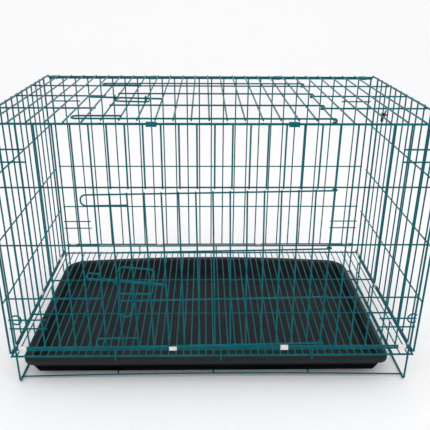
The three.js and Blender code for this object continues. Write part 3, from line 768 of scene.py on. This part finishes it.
class CRATE_OT_doors(bpy.types.Operator):
    """Front door and top door"""

    bl_idname = "crate.doors"
    bl_label = "Doors"

    def execute(self, context):
        hung = door_place(FRONT_PLACE, SAG, 0, FRONT_DOOR_ROWS)
        front = placed(door_wires("front", SAG, FRONT_DOOR_ROWS), hung)
        done(front, "front_door", ["front_door"], enamel_finish())
        hung = door_place(LID_PLACE, 0, LID_SHIFT, LID_DOOR_ROWS)
        top = placed(door_wires("top", 0, LID_DOOR_ROWS), hung)
        done(top, "top_door", ["top_door"], enamel_finish())
        return {"FINISHED"}


class CRATE_OT_bolts(bpy.types.Operator):
    """Sliding bolts of the two doors"""

    bl_idname = "crate.bolts"
    bl_label = "Bolts"

    def execute(self, context):
        tip = LATCH_X - BOLT_TIP
        own = Matrix.Translation((tip, bolt_line(tip), BOLT_FACE)) @ Matrix.Rotation(-BOLT_TILT, 4, "Z")
        hung = door_place(FRONT_PLACE, SAG, 0, FRONT_DOOR_ROWS)
        front = placed(bolt_wires("front_bolt", 1, True), hung @ own)
        done(front, "front_door_bolt", ["front_door_bolt"], enamel_finish())
        tip += LID_BOLT_BACK
        own = Matrix.Translation((tip, bolt_line(tip), BOLT_FACE)) @ Matrix.Rotation(-BOLT_TILT, 4, "Z")
        hung = door_place(LID_PLACE, 0, LID_SHIFT, LID_DOOR_ROWS)
        top = placed(bolt_wires("top_bolt", -1, False), hung @ own)
        done(top, "top_door_bolt", ["top_door_bolt"], enamel_finish())
        return {"FINISHED"}


# ---- Base -----------------------------------------------------------------------------------------


class CRATE_OT_base_frame(bpy.types.Operator):
    """Foot frames, hinge rails, short posts and the arched wires under the tray"""

    bl_idname = "crate.base_frame"
    bl_label = "Base frame"

    def execute(self, context):
        sizes = settings().wires
        left, right = CENTRE_X - HALF, CENTRE_X + HALF
        rise = sizes.rail / 2
        thick = []
        for x in (left, right):
            corners = [(x, FRONT_Y, RAIL_Z), (x, FRONT_Y, rise), (x, BACK_Y, rise), (x, BACK_Y, RAIL_Z)]
            thick.append(bend(corners, 0.007))
        for y in (FRONT_Y, BACK_Y):
            thick.append([(left - OVERHANG, y, RAIL_Z), (right + OVERHANG, y, RAIL_Z)])
        thin = []
        for y in (FRONT_Y, BACK_Y):
            for x in (-0.228, 0.017, 0.230):
                x += CENTRE_X
                thin.append([(x, y, FLOOR_Z - 0.008), (x, y, RAIL_Z)])

        def arch(x):
            return 0.0054 + 0.0058 * (1 - ((x - CENTRE_X) / HALF) ** 2)

        reach = HALF + OVERHANG
        crosses = (FRONT_Y + 0.014, BACK_Y - 0.014)
        for y in crosses:
            steps = [CENTRE_X - reach + 2 * reach * k / 32 for k in range(33)]
            thin.append([(x, y, arch(x)) for x in steps])
        for share in (-0.25, 0, 0.25):
            x = CENTRE_X + share * LENGTH
            z = arch(x) + crossing(FILL_WIRE, FILL_WIRE)
            thin.append([(x, crosses[0] - OVERHANG, z), (x, crosses[1] + OVERHANG, z)])
        for x in (left, right):
            for y in (FRONT_Y + 0.136, FRONT_Y + 0.318, BACK_Y - 0.081):
                thin.append([(x, y, rise), (x, y, FLOOR_Z + 0.0009)])
        runs = []
        for y in (FRONT_Y, BACK_Y):
            for x in (left, right, CENTRE_X - 0.228, CENTRE_X + 0.017, CENTRE_X + 0.230):
                runs.append(((x, y, RAIL_Z), (0, 0, 0), 1))
        parts = [
            wire("base_thick", thick, sizes.rail),
            wire("base_thin", thin, sizes.fill),
            beads("base_beads", runs),
        ]
        piece = joined("base_wires", parts)
        done(piece, "base", ["base_frame"], enamel_finish())
        return {"FINISHED"}


class CRATE_OT_floor_grid(bpy.types.Operator):
    """Fine floor grid and the side rails that carry the side panels"""

    bl_idname = "crate.floor_grid"
    bl_label = "Floor grid"

    def execute(self, context):
        sizes = settings().wires
        inset = BAR + FRAME_WIRE / 2 + GAP
        length = DEPTH - 2 * inset
        top = FLOOR_Z + crossing(FRAME_WIRE, FLOOR_WIRE)
        rows = [FRONT_Y + inset + length * row / 3 for row in range(4)]
        low, high = rows[0] - OVERHANG, rows[3] + OVERHANG
        thick = [[(CENTRE_X - SIDE_X, y, FLOOR_Z), (CENTRE_X + SIDE_X, y, FLOOR_Z)] for y in rows]
        for x in (CENTRE_X - SIDE_X, CENTRE_X + SIDE_X):
            thick.append([(x, low, FLOOR_Z), (x, high, FLOOR_Z)])
        first = CENTRE_X - HALF
        step = LENGTH / 52
        z = FLOOR_Z + FRAME_WIRE / 2 - 0.0002
        parts = [
            wire("floor_thick", thick, sizes.rail),
            straight("floor_fine", (first, low, top), (first, high, top), sizes.floor, 53, (step, 0, 0)),
            beads("floor_beads", [((first, y, z), (step, 0, 0), 53) for y in rows]),
        ]
        piece = joined("floor_wires", parts)
        done(piece, "base", ["floor_grid"], enamel_finish())
        return {"FINISHED"}


# ---- Tray -----------------------------------------------------------------------------------------


class CRATE_OT_tray(bpy.types.Operator):
    """Moulded tray: flat rim with a turned-down lip, leaning walls and a ridged floor"""

    bl_idname = "crate.tray"
    bl_label = "Tray"

    def execute(self, context):
        sizes = settings().tray
        width = TRAY_HIGH.x - TRAY_LOW.x
        corner_y = BACK_Y - 0.024
        depth = corner_y - TRAY_LOW.y
        middle = Vector(((TRAY_LOW.x + TRAY_HIGH.x) / 2, (TRAY_LOW.y + corner_y) / 2, TRAY_HIGH.z))
        bpy.ops.object.select_all(action="DESELECT")
        bpy.ops.mesh.primitive_plane_add(size=1, location=middle)
        tray = bpy.context.object
        tray.name = "tray_shell"
        tray.scale = (width, depth, 1)
        bpy.ops.object.transform_apply(location=True, rotation=True, scale=True)
        bpy.ops.object.mode_set(mode="EDIT")
        chosen(tray, lambda co: co.y < middle.y)
        bpy.ops.mesh.bevel(offset=0.028, segments=7, affect="VERTICES", profile=0.5)
        chosen(tray, lambda co: co.y > corner_y - 1e-4)
        bpy.ops.mesh.bevel(offset=0.056, segments=9, affect="VERTICES", profile=0.5)
        chosen(tray, lambda co: co.y > corner_y - 1e-5)
        bpy.ops.mesh.subdivide(number_cuts=15)
        # The back edge bows outwards between its corners.
        bpy.ops.object.mode_set(mode="OBJECT")
        span = width / 2 - 0.056
        for vertex in tray.data.vertices:
            if vertex.co.y > corner_y - 1e-5:
                share = (vertex.co.x - middle.x) / span
                vertex.co.y += (TRAY_HIGH.y - corner_y) * max(0, 1 - share**2)
        bpy.ops.object.mode_set(mode="EDIT")
        bpy.ops.mesh.select_all(action="SELECT")
        # Rim, leaning wall, a small step and the floor
        bpy.ops.mesh.inset(thickness=sizes.rim)
        drop = TRAY_HIGH.z - TRAY_LOW.z - sizes.wall
        bpy.ops.mesh.inset(thickness=sizes.slope * 0.25, depth=-drop * 0.14)
        bpy.ops.mesh.inset(thickness=sizes.slope * 0.75, depth=-drop * 0.86)
        bpy.ops.mesh.inset(thickness=0.006, depth=0.0)
        bpy.ops.mesh.inset(thickness=0.002, depth=0.0008)
        bpy.ops.mesh.select_all(action="DESELECT")
        # Lip
        bpy.ops.mesh.select_mode(type="EDGE")
        bpy.ops.mesh.select_non_manifold(extend=False, use_wire=False, use_multi_face=False, use_verts=False)
        bpy.ops.mesh.extrude_region_move(TRANSFORM_OT_translate={"value": (0, 0, -sizes.lip)})
        bpy.ops.mesh.select_mode(type="VERT")
        bpy.ops.mesh.select_all(action="SELECT")
        bpy.ops.mesh.normals_make_consistent(inside=False)
        bpy.ops.object.mode_set(mode="OBJECT")
        if max(tray.data.polygons, key=lambda face: face.area).normal.z < 0:
            bpy.ops.object.mode_set(mode="EDIT")
            bpy.ops.mesh.flip_normals()
            bpy.ops.object.mode_set(mode="OBJECT")
        modify(tray, "SOLIDIFY", thickness=sizes.wall, offset=-1, use_even_offset=True)
        modify(tray, "BEVEL", width=0.0011, segments=3, limit_method="ANGLE", angle_limit=math.radians(28))
        # Floor ridges
        floor_z = TRAY_HIGH.z - drop + 0.0008
        margin = sizes.rim + sizes.slope + 0.016
        low_x, high_x = TRAY_LOW.x + margin, TRAY_HIGH.x - margin
        low_y, high_y = TRAY_LOW.y + margin, corner_y - margin
        bpy.ops.object.select_all(action="DESELECT")
        bpy.ops.mesh.primitive_cube_add(size=1, location=(low_x, (low_y + high_y) / 2, floor_z))
        ridge = bpy.context.object
        ridge.scale = (0.0026, high_y - low_y, 0.0014)
        bpy.ops.object.transform_apply(location=True, rotation=True, scale=True)
        bpy.ops.object.mode_set(mode="EDIT")
        chosen(ridge, lambda co: co.z > floor_z)
        bpy.ops.mesh.bevel(offset=0.0006, segments=2, affect="EDGES")
        bpy.ops.object.mode_set(mode="OBJECT")
        count = int((high_x - low_x) / sizes.ridge_pitch) + 1
        repeat(ridge, count, (sizes.ridge_pitch, 0, 0))
        piece = joined("tray_body", [tray, ridge])
        done(piece, "tray", ["tray"], tray_finish(), 35)
        return {"FINISHED"}


# ---- Clips ----------------------------------------------------------------------------------------


def sleeve(name, spacing):
    """A crimped sleeve along x, round a wire at the origin and another one above it."""
    radius = FRAME_WIRE / 2 + 0.0014
    bpy.ops.object.select_all(action="DESELECT")
    bpy.ops.mesh.primitive_cylinder_add(
        vertices=20, radius=radius, depth=CLIP_LENGTH, end_fill_type="NOTHING", rotation=(0, math.pi / 2, 0)
    )
    clip = bpy.context.object
    clip.name = name
    bpy.ops.object.transform_apply(location=True, rotation=True, scale=True)
    bpy.ops.object.mode_set(mode="EDIT")
    chosen(clip, lambda co: co.z > 1e-5)
    bpy.ops.transform.translate(value=(0, 0, spacing))
    bpy.ops.mesh.select_all(action="SELECT")
    bpy.ops.mesh.subdivide(number_cuts=5)
    # The strip is pinched between the two wires, hardest in the middle of its length.
    bpy.ops.object.mode_set(mode="OBJECT")
    for vertex in clip.data.vertices:
        across = max(0, 1 - ((vertex.co.z - spacing / 2) / (0.36 * spacing)) ** 2)
        along = max(0, 1 - (vertex.co.x / (0.34 * CLIP_LENGTH)) ** 2)
        vertex.co.y *= 1 - 0.34 * across * along
        vertex.co.y *= 1 - 0.05 * max(0, abs(vertex.co.x) / (CLIP_LENGTH / 2) - 0.8) / 0.2
    modify(clip, "SOLIDIFY", thickness=0.0009, offset=-1)
    modify(clip, "BEVEL", width=0.00025, segments=2, limit_method="ANGLE", angle_limit=math.radians(50))
    return clip


def clip_between(name, lower, upper, along, node):
    """A sleeve at a clip's place along its wires, from its lower wire to its upper one."""
    low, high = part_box(node)
    middle = (low + high) / 2
    lower, upper = Vector(lower), Vector(upper)
    along = Vector(along)
    up = (upper - lower).normalized()
    across = up.cross(along)
    place = Matrix((along, across, up)).transposed().to_4x4()
    start = Vector([middle[i] if along[i] else lower[i] for i in range(3)])
    place.translation = start
    return placed(sleeve(name, (upper - lower).length), place)


class CRATE_OT_hinge_clips(bpy.types.Operator):
    """Crimped hinge clips of the four standing panels"""

    bl_idname = "crate.hinge_clips"
    bl_label = "Hinge clips"

    def execute(self, context):
        for side, y, count in (("front", FRONT_Y, 4), ("back", BACK_Y, 4)):
            for index in range(1, count + 1):
                node = f"{side}_hinge_clip_{index}"
                piece = clip_between(
                    f"{side}_crimp_{index}", (0, y, RAIL_Z), (0, y, HINGE_Z), (1, 0, 0), node
                )
                done(piece, "base", [node], zinc_finish())
        for side, x in (("left", CENTRE_X - SIDE_X), ("right", CENTRE_X + SIDE_X)):
            for index in range(1, 4):
                node = f"{side}_hinge_clip_{index}"
                piece = clip_between(
                    f"{side}_crimp_{index}", (x, 0, FLOOR_Z), (x, 0, SIDE_HINGE_Z), (0, 1, 0), node
                )
                done(piece, "base", [node], zinc_finish())
        return {"FINISHED"}


class CRATE_OT_lid_clips(bpy.types.Operator):
    """Sleeves on the back edge of the lid and folded hooks on its front edge"""

    bl_idname = "crate.lid_clips"
    bl_label = "Lid clips"

    def execute(self, context):
        for index in range(1, 5):
            node = f"top_back_clip_{index}"
            piece = clip_between(
                f"lid_crimp_{index}", (0, BACK_Y, TOP_Z), (0, BACK_Y + LID_BACK, TOP_Z + LID_RISE),
                (1, 0, 0), node,
            )
            done(piece, "back", [node], enamel_finish())
        around = BAR + GAP + 0.00045
        wire_y, wire_z = FRONT_Y - LID_FRONT, TOP_Z + LID_RISE
        for index in (1, 2):
            node = f"top_front_clip_{index}"
            low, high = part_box(node)
            profile = [
                (low.x, wire_y - around, wire_z - LID_RISE - 0.003),
                (low.x, wire_y - around, wire_z + around),
                (low.x, FRONT_Y - around, wire_z + around),
            ]
            hook = strip(f"lid_hook_{index}", bend(profile, 0.0018), Vector((high.x - low.x, 0, 0)), 0.0009)
            done(hook, "lid", [node], enamel_finish())
        return {"FINISHED"}


def strip(name, profile, reach, thickness):
    """Sheet strip folded along a profile and as wide as its reach."""
    bpy.ops.object.select_all(action="DESELECT")
    bpy.ops.mesh.primitive_plane_add(size=0.001)
    piece = bpy.context.object
    piece.name = name
    bpy.ops.object.mode_set(mode="EDIT")
    bpy.ops.mesh.select_all(action="SELECT")
    bpy.ops.mesh.merge(type="CENTER")
    bpy.ops.transform.translate(value=profile[0])
    for before, after in zip(profile, profile[1:]):
        bpy.ops.mesh.extrude_region_move(TRANSFORM_OT_translate={"value": after - before})
    bpy.ops.mesh.select_all(action="SELECT")
    bpy.ops.mesh.extrude_region_move(TRANSFORM_OT_translate={"value": reach})
    bpy.ops.object.mode_set(mode="OBJECT")
    modify(piece, "SOLIDIFY", thickness=thickness, offset=0)
    bpy.ops.object.mode_set(mode="EDIT")
    bpy.ops.mesh.select_all(action="SELECT")
    bpy.ops.mesh.normals_make_consistent(inside=False)
    bpy.ops.object.mode_set(mode="OBJECT")
    modify(piece, "BEVEL", width=thickness / 3.6, segments=2, limit_method="ANGLE", angle_limit=math.radians(50))
    return piece


class CRATE_OT_side_clip(bpy.types.Operator):
    """Small black clip left on a wire of the right side panel"""

    bl_idname = "crate.side_clip"
    bl_label = "Side clip"

    def execute(self, context):
        wall = 0.002
        radius = FILL_WIRE / 2 + GAP + wall / 2
        foot = SIDE_HINGE_Z + SIDE_HEIGHT - 0.104
        post_y = MIDDLE_Y - SIDE_WIDTH / 2 + 11 * SIDE_PITCH
        centre = Vector((CENTRE_X + SIDE_X + FACE, post_y, foot))
        turns = arc(centre, (0, 1, 0), (1, 0, 0), radius, math.radians(210), math.radians(510), 20)
        ring = strip("side_clip_ring", turns, Vector((0, 0, 0.024)), wall)
        prongs = []
        for rise in (0.5, 0.95):
            forward, upward = -math.cos(rise), math.sin(rise)
            prongs.append(
                bend(
                    [
                        (centre.x + radius, post_y - forward * away, foot + 0.012 - upward * away)
                        for away in (0.002, -0.014)
                    ]
                    + [(centre.x + radius, post_y + forward * 0.028, foot + 0.012 + upward * 0.028)],
                    0.003,
                )
            )
        arms = wire("side_clip_arms", prongs, 0.0042)
        piece = joined("side_clip_body", [ring, arms])
        done(piece, "right_side", ["side_clip"], black_clip_finish())
        return {"FINISHED"}


# ---- Stage ----------------------------------------------------------------------------------------


class CRATE_OT_stage(bpy.types.Operator):
    """Pale seamless floor, soft lights and the camera"""

    bl_idname = "crate.stage"
    bl_label = "Stage"

    def execute(self, context):
        bpy.ops.object.select_all(action="DESELECT")
        bpy.ops.mesh.primitive_plane_add(size=16, location=(0, -3.2, 0))
        paper = bpy.context.object
        paper.name = "studio_paper"
        bpy.ops.object.transform_apply(location=True, rotation=True, scale=True)
        bpy.ops.object.mode_set(mode="EDIT")
        chosen(paper, lambda co: co.y > 0)
        bpy.ops.mesh.extrude_region_move(TRANSFORM_OT_translate={"value": (0, 0, 6)})
        chosen(paper, lambda co: co.y > 0 and co.z < 1)
        bpy.ops.mesh.bevel(offset=2.0, segments=16, affect="EDGES")
        bpy.ops.object.mode_set(mode="OBJECT")
        smoothed(paper, 60)
        paper.data.materials.append(backdrop_finish())

        world = bpy.data.worlds.new("studio") if not bpy.data.worlds else bpy.data.worlds[0]
        context.scene.world = world
        world.use_nodes = True
        background = world.node_tree.nodes["Background"]
        background.inputs["Color"].default_value = (1, 1, 1, 1)
        background.inputs["Strength"].default_value = 1.09
        context.scene.view_settings.view_transform = "Standard"
        for name, place, size, energy in (
            ("overhead", (0.4, -0.2, 3.0), 3.2, 14),
            ("front_left", (-2.4, -3.0, 2.2), 2.0, 8),
            ("front_right", (2.6, -2.4, 1.8), 2.0, 5),
        ):
            bpy.ops.object.light_add(type="AREA", location=place)
            light = context.object
            light.name = name
            light.data.size = size
            light.data.energy = energy
            aim = Vector((0, 0, 0.3)) - Vector(place)
            light.rotation_euler = aim.to_track_quat("-Z", "Y").to_euler()

        yaw, pitch, roll = 0.0206, 0.4041, 0.0067
        forward = Vector((math.sin(yaw) * math.cos(pitch), math.cos(yaw) * math.cos(pitch), -math.sin(pitch)))
        level = Vector((math.cos(yaw), -math.sin(yaw), 0))
        above = level.cross(forward)
        right = level * math.cos(roll) + above * math.sin(roll)
        up = above * math.cos(roll) - level * math.sin(roll)
        bpy.ops.object.camera_add()
        camera = context.object
        camera.name = "view"
        place = Matrix((right, up, -forward)).transposed().to_4x4()
        place.translation = Vector((CENTRE_X - 0.0204, FRONT_Y - 1.0510, 0.8782))
        camera.matrix_world = place
        camera.data.sensor_width = 36
        camera.data.lens = 46.18
        camera.data.clip_start, camera.data.clip_end = 0.05, 60
        context.scene.camera = camera
        return {"FINISHED"}


# ---- Panel and registration -----------------------------------------------------------------------

PIECES = (
    CRATE_OT_base_frame,
    CRATE_OT_floor_grid,
    CRATE_OT_tray,
    CRATE_OT_front_panel,
    CRATE_OT_back_panel,
    CRATE_OT_side_panels,
    CRATE_OT_top_panel,
    CRATE_OT_doors,
    CRATE_OT_bolts,
    CRATE_OT_hinge_clips,
    CRATE_OT_lid_clips,
    CRATE_OT_side_clip,
)


class VIEW3D_PT_wire_crate(bpy.types.Panel):
    """The crate's settings and pieces"""

    bl_label = "Wire crate"
    bl_space_type = "VIEW_3D"
    bl_region_type = "UI"
    bl_category = "Crate"

    def draw(self, context):
        layout = self.layout
        for group in ("wires", "tray", "finish"):
            box = layout.box()
            values = getattr(settings(), group)
            for key in values.bl_rna.properties.keys():
                if key not in ("rna_type", "name"):
                    box.prop(values, key)
        for piece in PIECES:
            layout.operator(piece.bl_idname)
        layout.operator(CRATE_OT_stage.bl_idname)


CLASSES = (CrateWires, CrateTray, CrateFinish, CrateSettings, *PIECES, CRATE_OT_stage, VIEW3D_PT_wire_crate)


def register():
    for kind in CLASSES:
        bpy.utils.register_class(kind)
    bpy.types.Scene.wire_crate = bpy.props.PointerProperty(
        type=CrateSettings, name="Wire crate", description="Settings of the wire crate"
    )


def unregister():
    del bpy.types.Scene.wire_crate
    for kind in reversed(CLASSES):
        bpy.utils.unregister_class(kind)


def main():
    register()
    bpy.ops.crate.stage()
    bpy.ops.crate.base_frame()
    bpy.ops.crate.floor_grid()
    bpy.ops.crate.tray()
    bpy.ops.crate.front_panel()
    bpy.ops.crate.back_panel()
    bpy.ops.crate.side_panels()
    bpy.ops.crate.top_panel()
    bpy.ops.crate.doors()
    bpy.ops.crate.bolts()
    bpy.ops.crate.hinge_clips()
    bpy.ops.crate.lid_clips()
    bpy.ops.crate.side_clip()


if __name__ == "__main__":
    main()
